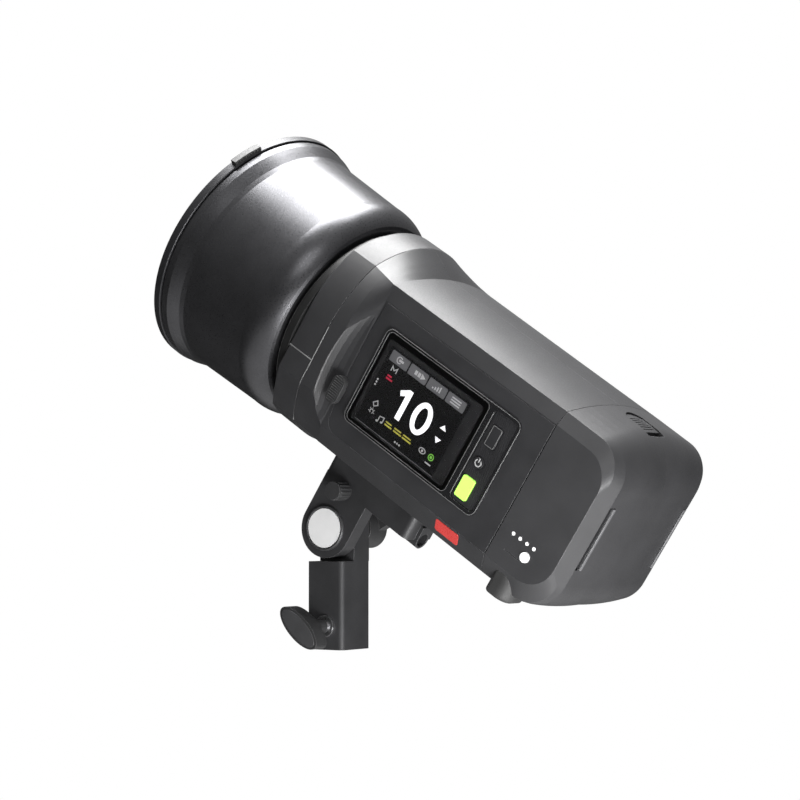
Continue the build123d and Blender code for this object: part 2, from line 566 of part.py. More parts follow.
# ---------- tilt joint ----------
save("tilt_cap", rod(10.9, 2.2, (0, -14.8, 0), (0, 1, 0)), PIVOT)
save("tilt_bolt", rod(BOLT_R - 0.03, 34.6, (0, -12.5, 0), (0, 1, 0)), PIVOT)
washer = rod(14.0, TONGUE_IN - EAR_IN - 0.3, (0, EAR_IN + 0.3, 0), (0, 1, 0))
save("tilt_washer", washer - rod(BOLT_R + 0.05, 10, (0, -8, 0), (0, 1, 0)), PIVOT)

# ---------- stand socket ----------
COLUMN_TOP = -18.4
column = block(-SOCKET_X - 0.4, SOCKET_X, -SOCKET_Y, SOCKET_Y, -PIVOT_Z, COLUMN_TOP)
column = fillet(column.edges().filter_by(Axis.Z).group_by(Axis.X)[-1], 3.0)
column = fillet(column.edges().filter_by(Axis.Z).group_by(Axis.X)[0], 1.2)
tongue = block(-SOCKET_X, SOCKET_X, TONGUE_IN, SOCKET_Y, COLUMN_TOP, 16)
tongue &= rod(14.5, 40, (0, -20, 0), (0, 1, 0))
tongue += block(-SOCKET_X, SOCKET_X, TONGUE_IN, SOCKET_Y, COLUMN_TOP, 0)
far_edge = tongue.edges().filter_by(Axis.Z).group_by(Axis.X)[-1].group_by(Axis.Y)[-1]
tongue = fillet(far_edge, 2.4)
stand = column + tongue
SOCKET_DEPTH = 44.0
stand -= rod(SPIGOT_R, SOCKET_DEPTH, (0, 0, -PIVOT_Z), (0, 0, 1))
stand -= rod(BOLT_R + 0.05, 40, (0, -20, 0), (0, 1, 0))
LOCK_Z = -54.0
LOCK_R = 3.0               # M6 thumb screw
LOCK_START = -34.0         # the screw's outer end
WING_BACK = -29.0          # inner face of the knob's wing
stand -= rod(6.0, 1.4, (0, -SOCKET_Y, LOCK_Z), (0, 1, 0))
stand -= rod(LOCK_R + 0.1, 14, (0, -SOCKET_Y - 1, LOCK_Z), (0, 1, 0))
save("stand_socket", stand, PIVOT)
insert = rod(6.0, 2.6, (0, -SOCKET_Y - 1.2, LOCK_Z), (0, 1, 0))
insert -= rod(LOCK_R + 0.1, 8, (0, -18, LOCK_Z), (0, 1, 0))
save("socket_insert", insert, PIVOT)

save("lock_screw", rod(LOCK_R, 25.0, (0, LOCK_START, LOCK_Z), (0, 1, 0)), PIVOT)
neck = rod(4.4, 11.6, (0, WING_BACK, LOCK_Z), (0, 1, 0))
wing_plane = Plane(origin=(0, WING_BACK, LOCK_Z), x_dir=(1, 0, 0), z_dir=(0, -1, 0))
wing = extrude(wing_plane * Ellipse(15.4, 6.6), 9.5)
wing = Pos(0, 0, LOCK_Z) * Rot(0, 42, 0) * Pos(0, 0, -LOCK_Z) * wing
knob = wing + neck
knob -= rod(LOCK_R + 0.03, 40, (0, LOCK_START - 0.05, LOCK_Z), (0, 1, 0))
save("lock_knob", knob, PIVOT)

# ---------- tilt lever ----------
lever = rod(11.5, 16.0, (0, SOCKET_Y + 0.3, 0), (0, 1, 0))
arm = extrude(Plane(origin=(0, SOCKET_Y + 8.3, 0), x_dir=(1, 0, 0), z_dir=(0, 1, 0))
              * Pos(19, 0) * SlotOverall(42, 13), 7.0)
arm = Rot(0, -28, 0) * arm
lever = lever + arm
lever -= rod(BOLT_R + 0.02, 30, (0, 5, 0), (0, 1, 0))
save("tilt_lever", lever, PIVOT)
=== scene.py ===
import json
import math

import bmesh
import bpy
from mathutils import Matrix, Vector


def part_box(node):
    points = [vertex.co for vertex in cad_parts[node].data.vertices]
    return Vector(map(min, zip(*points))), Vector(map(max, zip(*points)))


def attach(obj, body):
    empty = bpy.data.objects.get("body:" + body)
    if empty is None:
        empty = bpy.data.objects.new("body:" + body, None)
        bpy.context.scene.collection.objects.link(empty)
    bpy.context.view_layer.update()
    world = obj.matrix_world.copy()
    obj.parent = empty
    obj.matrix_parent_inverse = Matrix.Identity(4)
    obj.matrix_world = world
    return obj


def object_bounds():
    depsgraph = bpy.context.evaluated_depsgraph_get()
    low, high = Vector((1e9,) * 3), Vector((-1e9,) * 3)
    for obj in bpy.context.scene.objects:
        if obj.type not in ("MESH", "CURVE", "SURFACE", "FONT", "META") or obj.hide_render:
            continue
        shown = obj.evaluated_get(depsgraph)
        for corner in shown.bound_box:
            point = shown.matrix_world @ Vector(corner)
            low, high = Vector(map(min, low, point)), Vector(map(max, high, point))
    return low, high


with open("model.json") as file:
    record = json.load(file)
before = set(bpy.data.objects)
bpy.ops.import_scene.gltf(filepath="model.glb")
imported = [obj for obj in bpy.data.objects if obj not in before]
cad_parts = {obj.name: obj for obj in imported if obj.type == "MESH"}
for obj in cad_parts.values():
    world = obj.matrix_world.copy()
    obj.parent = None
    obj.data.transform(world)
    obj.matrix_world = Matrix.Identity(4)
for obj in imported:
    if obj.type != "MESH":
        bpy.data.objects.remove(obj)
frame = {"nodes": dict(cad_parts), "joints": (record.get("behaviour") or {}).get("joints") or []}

CAD_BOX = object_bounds()
NODES = frame["nodes"]
JOINTS = {j["name"]: j for j in frame["joints"]}
MM = 0.001
WHOLE_TURN = 2 * math.pi


# ---------- the head's own frame: u rearward along the lamp axis, v to the far side, w up ----------
def head_frame():
    """Matrix from head millimetres to the row frame. The lamp axis and the pivot come from the joints."""
    u = Vector(JOINTS["battery_slide"]["axis"]).normalized()
    v = Vector((0, 1, 0))
    w = u.cross(v)
    pivot = Vector(JOINTS["head_tilt"]["pos_m"])
    on_axis = Vector(JOINTS["reflector_twist"]["pos_m"])
    centre = on_axis - u * (on_axis - pivot).dot(u)
    turn = Matrix((u, v, w)).transposed().to_4x4()
    return Matrix.Translation(centre) @ turn @ Matrix.Scale(MM, 4)


HEAD = head_frame()
HEAD_BACK = HEAD.inverted()


def span(node):
    """Lowest and highest corner of a CAD node in head millimetres."""
    points = [HEAD_BACK @ p.co for p in NODES[node].data.vertices]
    low = Vector(min(p[i] for p in points) for i in range(3))
    high = Vector(max(p[i] for p in points) for i in range(3))
    return low, high


# ---------- materials ----------
CLOUD_SCALE = 55.0         # large soft variation of tone, per metre
GRAIN_SCALE = 1400.0       # moulded or cast grain, per metre
GRAIN_DEPTH = 0.00006
GLOSS_SPREAD = 0.08        # roughness varies this much with the grain
EDGE_RADIUS = 0.0004       # edges look rounded by this much, in metres


def new_material(name):
    """A material with its nodes, links and shader."""
    mat = bpy.data.materials.new(name)
    mat.use_nodes = True
    return mat, mat.node_tree.nodes, mat.node_tree.links, mat.node_tree.nodes["Principled BSDF"]


def surface(name, colour, rough, metallic=0.0, bump=0.12, vary=0.18, wear=0.0, coat=0.0):
    """A moulded, painted or metal surface: cloudy tone, uneven gloss, fine grain, softened and worn edges."""
    mat, nodes, links, shader = new_material(name)
    where = nodes.new("ShaderNodeTexCoord").outputs["Object"]

    cloud = nodes.new("ShaderNodeTexNoise")
    cloud.inputs["Scale"].default_value = CLOUD_SCALE
    cloud.inputs["Detail"].default_value = 6.0
    links.new(where, cloud.inputs["Vector"])
    tone = nodes.new("ShaderNodeValToRGB")
    tone.color_ramp.elements[0].position = 0.3
    tone.color_ramp.elements[1].position = 0.7
    tone.color_ramp.elements[0].color = [c * (1 - vary) for c in colour] + [1]
    tone.color_ramp.elements[1].color = [min(1.0, c * (1 + vary)) for c in colour] + [1]
    links.new(cloud.outputs["Fac"], tone.inputs["Fac"])

    fine = nodes.new("ShaderNodeTexNoise")
    fine.inputs["Scale"].default_value = GRAIN_SCALE
    fine.inputs["Detail"].default_value = 3.0
    links.new(where, fine.inputs["Vector"])

    gloss = nodes.new("ShaderNodeMapRange")
    gloss.inputs["From Min"].default_value = 0.3
    gloss.inputs["From Max"].default_value = 0.7
    gloss.inputs["To Min"].default_value = max(0.02, rough - GLOSS_SPREAD)
    gloss.inputs["To Max"].default_value = min(1.0, rough + GLOSS_SPREAD)
    links.new(fine.outputs["Fac"], gloss.inputs["Value"])
    links.new(gloss.outputs["Result"], shader.inputs["Roughness"])

    round_edge = nodes.new("ShaderNodeBevel")
    round_edge.samples = 4
    round_edge.inputs["Radius"].default_value = EDGE_RADIUS
    relief = nodes.new("ShaderNodeBump")
    relief.inputs["Strength"].default_value = bump
    relief.inputs["Distance"].default_value = GRAIN_DEPTH
    links.new(fine.outputs["Fac"], relief.inputs["Height"])
    links.new(round_edge.outputs["Normal"], relief.inputs["Normal"])
    links.new(relief.outputs["Normal"], shader.inputs["Normal"])

    if wear > 0:
        geometry = nodes.new("ShaderNodeNewGeometry")
        turn = nodes.new("ShaderNodeVectorMath")
        turn.operation = "DOT_PRODUCT"
        links.new(round_edge.outputs["Normal"], turn.inputs[0])
        links.new(geometry.outputs["Normal"], turn.inputs[1])
        rub = nodes.new("ShaderNodeMapRange")
        rub.inputs["From Min"].default_value = 0.98
        rub.inputs["From Max"].default_value = 0.86
        rub.inputs["To Min"].default_value = 0.0
        rub.inputs["To Max"].default_value = wear
        links.new(turn.outputs["Value"], rub.inputs["Value"])
        worn = nodes.new("ShaderNodeMix")
        worn.data_type = "RGBA"
        worn.inputs["B"].default_value = [min(1.0, c * 2.5 + 0.08) for c in colour] + [1]
        links.new(rub.outputs["Result"], worn.inputs["Factor"])
        links.new(tone.outputs["Color"], worn.inputs["A"])
        links.new(worn.outputs["Result"], shader.inputs["Base Color"])
    else:
        links.new(tone.outputs["Color"], shader.inputs["Base Color"])

    shader.inputs["Metallic"].default_value = metallic
    shader.inputs["Coat Weight"].default_value = coat
    shader.inputs["Coat Roughness"].default_value = 0.12
    return mat


def clear(name, colour, rough, ior=1.45):
    """Clear glass or quartz with faint streaks in its gloss."""
    mat, nodes, links, shader = new_material(name)
    where = nodes.new("ShaderNodeTexCoord").outputs["Object"]
    streaks = nodes.new("ShaderNodeTexNoise")
    streaks.inputs["Scale"].default_value = 120.0
    links.new(where, streaks.inputs["Vector"])
    gloss = nodes.new("ShaderNodeMapRange")
    gloss.inputs["To Min"].default_value = rough
    gloss.inputs["To Max"].default_value = rough + 0.04
    links.new(streaks.outputs["Fac"], gloss.inputs["Value"])
    links.new(gloss.outputs["Result"], shader.inputs["Roughness"])
    shader.inputs["Base Color"].default_value = list(colour) + [1]
    shader.inputs["Transmission Weight"].default_value = 1.0
    shader.inputs["IOR"].default_value = ior
    return mat


def lit(name, colour, strength):
    """A lit mark or key, a little uneven, as backlit print is."""
    mat, nodes, links, shader = new_material(name)
    where = nodes.new("ShaderNodeTexCoord").outputs["Object"]
    cloud = nodes.new("ShaderNodeTexNoise")
    cloud.inputs["Scale"].default_value = 260.0
    links.new(where, cloud.inputs["Vector"])
    tone = nodes.new("ShaderNodeValToRGB")
    tone.color_ramp.elements[0].color = [c * 0.93 for c in colour] + [1]
    tone.color_ramp.elements[1].color = list(colour) + [1]
    links.new(cloud.outputs["Fac"], tone.inputs["Fac"])
    links.new(tone.outputs["Color"], shader.inputs["Base Color"])
    links.new(tone.outputs["Color"], shader.inputs["Emission Color"])
    shader.inputs["Emission Strength"].default_value = strength
    shader.inputs["Roughness"].default_value = 0.5
    return mat


MATERIALS = {
    "shell_black": surface("shell_plastic", (0.034, 0.034, 0.036), 0.44, wear=0.5, bump=0.35, vary=0.10),
    "panel_black": surface("panel_plastic", (0.028, 0.028, 0.030), 0.50, wear=0.3, bump=0.2),
    "battery_black": surface("battery_plastic", (0.040, 0.040, 0.042), 0.44, wear=0.5, bump=0.4, vary=0.09),
    "trim_black": surface("bezel_plastic", (0.012, 0.012, 0.013), 0.22, wear=0.6, bump=0.05),
    "window_glass": clear("window_glass", (0.95, 0.95, 0.96), 0.0),
    "screen": surface("screen_black", (0.004, 0.004, 0.005), 0.3, bump=0.0),
    "key_green": lit("key_green", (0.46, 1.0, 0.13), 0.75),
    "key_black": surface("key_rubber", (0.02, 0.02, 0.022), 0.5),
    "window_red": surface("window_red", (0.60, 0.055, 0.05), 0.3, coat=0.3, bump=0.05),
    "lug_black": surface("lug_rubber", (0.02, 0.02, 0.02), 0.5, wear=0.4),
    "bowl_metal": surface("bowl_anodised", (0.085, 0.085, 0.09), 0.33, metallic=0.8, bump=0.1, wear=0.3,
                          vary=0.10),
    "rim_metal": surface("rim_anodised", (0.045, 0.045, 0.048), 0.40, metallic=0.6, bump=0.1, wear=0.3),
    "ring_metal": surface("ring_steel", (0.03, 0.03, 0.03), 0.4, metallic=0.5),
    "ceramic": surface("ceramic", (0.75, 0.74, 0.70), 0.5),
    "plate_metal": surface("plate_metal", (0.6, 0.6, 0.6), 0.35, metallic=1.0),
    "quartz": clear("quartz", (0.95, 0.97, 0.97), 0.0, 1.46),
    "dome_glass": clear("dome_glass", (0.95, 0.95, 0.95), 0.35),
    "phosphor": surface("phosphor", (0.85, 0.72, 0.2), 0.4),
    "board_green": surface("board_green", (0.02, 0.12, 0.06), 0.4),
    "can_metal": surface("can_metal", (0.08, 0.09, 0.12), 0.3, metallic=0.5),
    "copper_coil": surface("copper_coil", (0.55, 0.27, 0.1), 0.35, metallic=0.9),
    "fan_black": surface("fan_plastic", (0.02, 0.02, 0.02), 0.5),
    "cast_black": surface("cast_metal", (0.040, 0.040, 0.042), 0.45, metallic=0.2, bump=0.5, wear=0.6),
    "steel": surface("zinc_steel", (0.45, 0.45, 0.46), 0.32, metallic=1.0),
    "screw_black": surface("black_oxide", (0.02, 0.02, 0.02), 0.35, metallic=0.6),
    "cap_grey": surface("cap_grey", (0.80, 0.80, 0.80), 0.4, bump=0.1, vary=0.06),
    "knob_black": surface("knob_plastic", (0.03, 0.03, 0.031), 0.5, wear=0.5, bump=0.4),
    "friction": surface("friction_disc", (0.05, 0.05, 0.05), 0.8),
    "rubber_black": surface("rubber", (0.03, 0.03, 0.03), 0.6, wear=0.3),
    "cell_wrap": surface("cell_wrap", (0.1, 0.25, 0.4), 0.3),
    "contact": surface("contact_gold", (0.8, 0.6, 0.25), 0.3, metallic=1.0),
    "light_white": lit("light_white", (0.85, 0.85, 0.85), 0.35),
}

for obj in NODES.values():
    slot_name = obj.data.materials[0].name
    for index in range(len(obj.data.materials)):
        obj.data.materials[index] = MATERIALS[slot_name]


# ---------- added pieces ----------
class Shape:
    """Mesh under construction in head millimetres."""

    def __init__(self):
        self.bm = bmesh.new()

    def slab(self, outline, v0, v1, inner=None):
        """Plate in a side plane, v0 to v1, from (u, w) outlines; inner is a hole with as many points."""
        loops = [[[self.bm.verts.new((u, v, w)) for u, w in line] for v in (v0, v1)]
                 for line in ([outline] if inner is None else [outline, inner])]
        count = len(outline)
        for front, rear in loops:
            for i in range(count):
                j = (i + 1) % count
                self.bm.faces.new((front[i], front[j], rear[j], rear[i]))
        for side in (0, 1):
            outer_loop = loops[0][side]
            if inner is None:
                self.bm.faces.new(outer_loop)
                continue
            hole = loops[1][side]
            for i in range(count):
                j = (i + 1) % count
                self.bm.faces.new((outer_loop[i], outer_loop[j], hole[j], hole[i]))

    def stroke(self, path, width, v0, v1, closed=False):
        """Line of constant width along (u, w) points."""
        left, right = [], []
        count = len(path)
        for i, (u, w) in enumerate(path):
            before = path[i - 1] if i or closed else None
            after = path[(i + 1) % count] if i < count - 1 or closed else None
            steps = []
            for a, b in ((before, (u, w)), ((u, w), after)):
                if a is not None and b is not None:
                    steps.append(Vector((b[0] - a[0], b[1] - a[1])).normalized())
            along = sum(steps, Vector((0, 0))).normalized()
            reach = width / 2 / max(0.4, along.dot(steps[0]))
            across = Vector((-along.y, along.x)) * reach
            left.append((u + across.x, w + across.y))
            right.append((u - across.x, w - across.y))
        if closed:
            self.slab(left, v0, v1, right)
        else:
            self.slab(left + right[::-1], v0, v1)

    def tube(self, path, radius, sides=8):
        """Round bead along points (u, v, w), with flat ends."""
        path = [Vector(p) for p in path]
        count = len(path)
        rings = []
        for i, p in enumerate(path):
            before = path[i - 1] if i else p
            after = path[i + 1] if i < count - 1 else p
            along = (after - before).normalized()
            side = along.cross(Vector((0.31, 0.17, 0.93))).normalized()
            over = along.cross(side)
            rings.append([self.bm.verts.new(p + radius * (math.cos(t) * side + math.sin(t) * over))
                          for t in (WHOLE_TURN * k / sides for k in range(sides))])
        for a, b in zip(rings, rings[1:]):
            for k in range(sides):
                m = (k + 1) % sides
                self.bm.faces.new((a[k], a[m], b[m], b[k]))
        self.bm.faces.new(rings[0])
        self.bm.faces.new(rings[-1])

    def lathe(self, profile, centre, axis, segments=64):
        """Turned ring: (distance along axis, radius) points about an axis through centre; closed profile."""
        axis = Vector(axis).normalized()
        side = axis.orthogonal().normalized()
        over = axis.cross(side)
        centre = Vector(centre)
        rings = []
        for k in range(segments):
            t = WHOLE_TURN * k / segments
            out = math.cos(t) * side + math.sin(t) * over
            rings.append([self.bm.verts.new(centre + axis * d + out * r) for d, r in profile])
        for k in range(segments):
            a, b = rings[k], rings[(k + 1) % segments]
            for i in range(len(profile)):
                j = (i + 1) % len(profile)
                self.bm.faces.new((a[i], a[j], b[j], b[i]))

    def block(self, centre, size, turn=None):
        """Box about centre; turn is a rotation matrix."""
        made = bmesh.ops.create_cube(self.bm, size=1.0)["verts"]
        for vert in made:
            p = Vector(vert.co[i] * size[i] for i in range(3))
            vert.co = Vector(centre) + (turn @ p if turn else p)

    def finish(self, name, material, body, bevel=0.0, smooth=True, place=HEAD):
        """Write the piece, in the row frame, on its body."""
        bmesh.ops.recalc_face_normals(self.bm, faces=self.bm.faces)
        self.bm.transform(place)
        data = bpy.data.meshes.new(name)
        self.bm.to_mesh(data)
        self.bm.free()
        data.materials.append(material)
        obj = bpy.data.objects.new(name, data)
        bpy.context.scene.collection.objects.link(obj)
        if bevel:
            soften = obj.modifiers.new("soften", "BEVEL")
            soften.width = bevel * MM
            soften.segments = 2
            soften.limit_method = "ANGLE"
        if smooth:
            data.shade_smooth()
            data.set_sharp_from_angle(angle=math.radians(35))
        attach(obj, body)


def oval(u, w, ru, rw, turn=0.0, count=40):
    """Ellipse about (u, w), turned by an angle in radians."""
    c, s = math.cos(turn), math.sin(turn)
    points = []
    for k in range(count):
        t = WHOLE_TURN * k / count
        a, b = ru * math.cos(t), rw * math.sin(t)
        points.append((u + a * c - b * s, w + a * s + b * c))
    return points


def rounded(u0, u1, w0, w1, r, steps=5):
    """Rectangle with round corners."""
    points = []
    corners = ((u1 - r, w1 - r, 0), (u0 + r, w1 - r, 90), (u0 + r, w0 + r, 180), (u1 - r, w0 + r, 270))
    for cu, cw, start in corners:
        for k in range(steps + 1):
            a = math.radians(start + 90 * k / steps)
            points.append((cu + r * math.cos(a), cw + r * math.sin(a)))
    return points


def inset(low, high, by, r):
    """Round-cornered rectangle inside a node's box by so much; a negative amount goes outside it."""
    return rounded(low.x + by, high.x - by, low.z + by, high.z - by, r)


def middle(node):
    """Middle of a node in the side plane."""
    low, high = span(node)
    return (low.x + high.x) / 2, (low.z + high.z) / 2


def sweep(u, w, r, start, end, count=24):
    """Arc from start to end degrees."""
    angles = [math.radians(start + (end - start) * k / count) for k in range(count + 1)]
    return [(u + r * math.cos(a), w + r * math.sin(a)) for a in angles]


UI_WHITE = lit("ui_white", (0.95, 0.95, 0.95), 0.95)
UI_GREY = lit("ui_grey", (0.12, 0.12, 0.125), 0.55)
UI_DIM = lit("ui_dim", (0.42, 0.42, 0.42), 0.6)
UI_RED = lit("ui_red", (0.45, 0.02, 0.05), 0.6)
UI_YELLOW = lit("ui_yellow", (0.42, 0.40, 0.06), 0.7)
UI_GREEN = lit("ui_green", (0.16, 0.45, 0.06), 0.7)
MASK = surface("window_print", (0.030, 0.030, 0.032), 0.45, bump=0.05)
# painted edge highlight: a light grey tone on thin strips along edges, standing in for the highlights on those
# edges
PAINTED_EDGE_HIGHLIGHT = surface("painted_edge_highlight", (0.16, 0.16, 0.16), 0.4, bump=0.1)
PRINT_LIGHT = surface("printed_mark", (0.55, 0.55, 0.55), 0.5, bump=0.1)

# the screen, its print and its lit marks, in millimetres from the lower front corner of the lit area
LIT_LONG, LIT_HIGH = 57.6, 43.4
lcd_low, _ = span("lcd_module")
glass_low, glass_high = span("display_glass")
UI_BACK = lcd_low.y - 0.008
UI_FRONT = UI_BACK - 0.025
LIT_U, LIT_W = lcd_low.x + 2.4, lcd_low.z + 1.2


def on_screen(points):
    """Points from the screen's corner, placed in the head's frame."""
    return [(LIT_U + u, LIT_W + w) for u, w in points]


class Screen(Shape):
    """Thin lit marks on the screen."""

    def fill(self, points, inner=None, up=0.0):
        self.slab(on_screen(points), UI_FRONT + up, UI_BACK, inner and on_screen(inner))

    def bar(self, u0, w0, u1, w1):
        self.fill([(u0, w0), (u1, w0), (u1, w1), (u0, w1)])

    def line(self, points, width, closed=False):
        self.stroke(on_screen(points), width, UI_FRONT, UI_BACK, closed=closed)

    def dot(self, u, w, ru, rw, count=16):
        self.fill(oval(u, w, ru, rw, count=count))

    def write(self, name, material):
        self.finish(name, material, "head", smooth=False)


mask = Shape()
mask.slab(inset(glass_low, glass_high, 0.4, 2.4), UI_FRONT, UI_BACK,
          rounded(LIT_U - 0.2, LIT_U + LIT_LONG + 0.4, LIT_W, LIT_W + LIT_HIGH + 0.3, 0.3))
mask.finish("window_print", MASK, "head", smooth=False)

TILE_PITCH, TILE_LONG = 13.85, 13.0
tiles = Screen()
for k in range(4):
    u0 = 1.65 + TILE_PITCH * k
    tiles.fill(rounded(u0, u0 + TILE_LONG, 36.5, 42.5, 0.8), up=0.012)
tiles.write("screen_tiles", UI_GREY)

# on the tiles: a ring with an arrow, a fast-forward sign, a rising bar chart and a list
icons = Screen()
icons.line(sweep(8.1, 39.5, 1.7, 40, 320), 0.6)
icons.bar(7.8, 38.9, 11.0, 40.1)
for k in range(2):
    icons.bar(19.6 + 2.3 * k, 38.3, 21.4 + 2.3 * k, 40.7)
icons.fill([(24.2, 37.8), (27.2, 39.5), (24.2, 41.2)])
for k in range(4):
    icons.bar(32.9 + 1.6 * k, 38.0, 33.8 + 1.6 * k, 38.9 + 0.75 * k)
for k in range(3):
    icons.bar(46.3, 37.7 + 1.4 * k, 52.9, 38.4 + 1.4 * k)
icons.write("screen_tile_icons", UI_DIM)

# the power setting in large digits, with its two arrows
digits = Screen()
digits.fill([(21.5, 12.6), (24.9, 12.6), (24.9, 30.0), (22.3, 30.0), (17.1, 26.8), (18.5, 24.2), (21.5, 25.9)])
digits.fill(oval(36.25, 21.2, 6.3, 9.1, count=56), oval(36.25, 21.1, 3.05, 6.3, count=56))
for tip, base in ((26.1, 23.4), (15.5, 18.4)):
    digits.fill([(48.3, base), (52.7, base), (50.5, tip)])
digits.write("screen_digits", UI_WHITE)

# small marks: dots, a mode letter, a tag, a lamp, a note, an eye and a dash
LAMP_U, LAMP_W = 7.3, 8.0
marks = Screen()
for k in range(3):
    marks.dot(1.45, 24.2 - 1.55 * k, 0.55, 0.55)
    marks.dot(28.8 + 1.6 * k, 2.3, 0.55, 0.55)
marks.line([(6.1, 32.2), (6.1, 34.9), (7.85, 33.2), (9.6, 34.9), (9.6, 32.2)], 0.6)
marks.line([(5.7, 12.6), (7.9, 14.6), (9.2, 12.6), (7.1, 11.0)], 0.55, closed=True)
marks.line(sweep(LAMP_U, LAMP_W, 1.1, -60, 240), 0.45)
for k in range(5):
    a = math.radians(-10 + 50 * k)
    c, s = math.cos(a), math.sin(a)
    marks.line([(LAMP_U + 1.6 * c, LAMP_W + 1.6 * s), (LAMP_U + 2.2 * c, LAMP_W + 2.2 * s)], 0.4)
marks.line([(13.4, 5.6), (13.4, 8.6), (16.4, 9.2), (16.4, 6.2)], 0.5)
for u, w in ((12.8, 5.6), (15.8, 6.2)):
    marks.dot(u, w, 0.8, 0.55)
marks.line(oval(45.7, 7.7, 2.1, 1.35, count=28), 0.5, closed=True)
marks.dot(45.7, 7.7, 0.7, 0.7)
marks.bar(50.2, 3.5, 54.3, 4.2)
marks.write("screen_marks", UI_DIM)

red_mark = Screen()
red_mark.bar(5.5, 27.2, 9.9, 28.2)
red_mark.bar(5.5, 28.9, 8.6, 29.8)
red_mark.write("screen_red_mark", UI_RED)

yellow = Screen()
for u0, u1 in ((18.1, 23.2), (24.6, 30.4), (31.2, 37.6)):
    yellow.bar(u0, 6.4, u1, 7.2)
    yellow.bar(u0, 8.0, u1 - 0.8, 8.7)
yellow.write("screen_yellow_bars", UI_YELLOW)

green_mark = Screen()
green_mark.line(oval(52.2, 7.7, 1.6, 1.6, count=28), 0.6, closed=True)
green_mark.dot(52.2, 7.7, 0.8, 0.8, count=18)
green_mark.write("screen_green_mark", UI_GREEN)

# painted highlights along the edges of the bezel and the key field
bezel_low, bezel_high = span("display_bezel")
zone_low, zone_high = span("key_plate")
LINE_FRONT = bezel_low.y - 0.06
LINE_BACK = bezel_low.y + 0.1
lines = Shape()
lines.stroke(inset(bezel_low, bezel_high, 0.3, 4.2), 0.34, LINE_FRONT, LINE_BACK, closed=True)
lines.stroke(inset(glass_low, glass_high, -0.35, 3.1), 0.26, LINE_FRONT, LINE_BACK, closed=True)
divider = zone_low.x - 0.45
lines.stroke([(divider, zone_low.z + 1.5), (divider, zone_high.z - 1.5)], 0.3, LINE_FRONT, LINE_BACK)
lines.finish("bezel_edge_lines", PAINTED_EDGE_HIGHLIGHT, "head", smooth=False)

glass_line = Shape()
glass_line.stroke([(LIT_U - 0.2, LIT_W - 0.3), (LIT_U + LIT_LONG + 0.4, LIT_W - 0.3)], 0.32,
                  UI_FRONT - 0.01, UI_BACK)
glass_line.finish("screen_edge_line", UI_GREY, "head", smooth=False)

# raised hatching of the key field, clear of the keys
KEY_FACE = zone_low.y
HATCH_PITCH, HATCH_LEAN = 1.25, 0.75
HATCH_CLEAR = 0.7
HATCH_STEPS = 60
keys = [span(n) for n in ("green_key", "square_key", "power_button")]


def on_key(u, w):
    return any(low.x - HATCH_CLEAR < u < high.x + HATCH_CLEAR and low.z - HATCH_CLEAR < w < high.z + HATCH_CLEAR
               for low, high in keys)


hatch = Shape()
line_w = zone_low.z - (zone_high.x - zone_low.x) * HATCH_LEAN
while line_w < zone_high.z:
    steps = []
    for k in range(HATCH_STEPS + 1):
        u = zone_low.x + 0.6 + (zone_high.x - zone_low.x - 1.2) * k / HATCH_STEPS
        w = line_w + (zone_high.x - u) * HATCH_LEAN
        inside = zone_low.z + HATCH_CLEAR < w < zone_high.z - HATCH_CLEAR
        steps.append((u, w) if inside and not on_key(u, w) else None)
    run = []
    for p in steps + [None]:
        if p:
            run.append(p)
        elif run:
            if len(run) > 3:
                hatch.stroke([run[0], run[-1]], 0.45, KEY_FACE - 0.16, KEY_FACE + 0.05)
            run = []
    line_w += HATCH_PITCH
hatch.finish("key_field_hatching", MATERIALS["key_black"], "head", smooth=False)

# marks on the keys, standing a little above their faces
MARK_UP = 0.05
square_low, square_high = span("square_key")
# light outline round the square key's edge: a painted edge highlight
outline = Shape()
outline.stroke(inset(square_low, square_high, 0.35, 0.7), 0.4, square_low.y - MARK_UP, square_low.y + MARK_UP,
               closed=True)
outline.finish("square_key_outline", PAINTED_EDGE_HIGHLIGHT, "square_key", smooth=False)

power_low, _ = span("power_button")
pu, pw = middle("power_button")
power = Shape()
power.stroke(sweep(pu, pw, 1.85, 125, 415, 40), 0.6, power_low.y - MARK_UP, power_low.y + MARK_UP)
power.slab([(pu - 0.3, pw + 0.2), (pu + 0.3, pw + 0.2), (pu + 0.3, pw + 2.6), (pu - 0.3, pw + 2.6)],
           power_low.y - MARK_UP, power_low.y + MARK_UP)
power.finish("power_icon", PRINT_LIGHT, "power_button", smooth=False)

# grip ribs of the release slider
RIB_PITCH = 1.3
slider_low, _ = span("release_slider")
su, sw = middle("release_slider")
grip = Shape()
for k in range(-5, 6):
    reach = 3.0 * math.sqrt(max(0.05, 1 - (k / 7.2) ** 4))
    grip.block((su, slider_low.y + 0.05, sw + RIB_PITCH * k), (2 * reach, 0.6, 0.6))
grip.finish("release_slider_ribs", MATERIALS["knob_black"], "release_slider", bevel=0.15)

# flutes round the umbrella clamp's knob
FLUTES = 16
FLUTE_R = 4.95
knob_low, knob_high = span("umbrella_knob")
ku, kw = middle("umbrella_knob")
flutes = Shape()
for k in range(FLUTES):
    a = WHOLE_TURN * k / FLUTES
    at = (ku + FLUTE_R * math.cos(a), (knob_low.y + knob_high.y) / 2 + 0.4, kw + FLUTE_R * math.sin(a))
    flutes.block(at, (0.8, knob_high.y - knob_low.y - 2.2, 0.9), Matrix.Rotation(-a, 3, "Y"))
flutes.finish("umbrella_knob_flutes", MATERIALS["knob_black"], "umbrella_knob", bevel=0.2)

# raised ring round the tilt cap
cap_low, cap_high = span("tilt_cap")
cu, cw = middle("tilt_cap")
rim = Shape()
rim.lathe([(cap_low.y - 0.35, 11.5), (cap_low.y - 0.35, 12.1), (cap_low.y + 0.3, 12.6),
           (cap_high.y - 0.5, 12.6), (cap_high.y - 0.5, 11.15), (cap_low.y + 0.2, 11.15)],
          (cu, 0, cw), (0, 1, 0))
rim.finish("tilt_cap_surround", MATERIALS["cast_black"], "head")

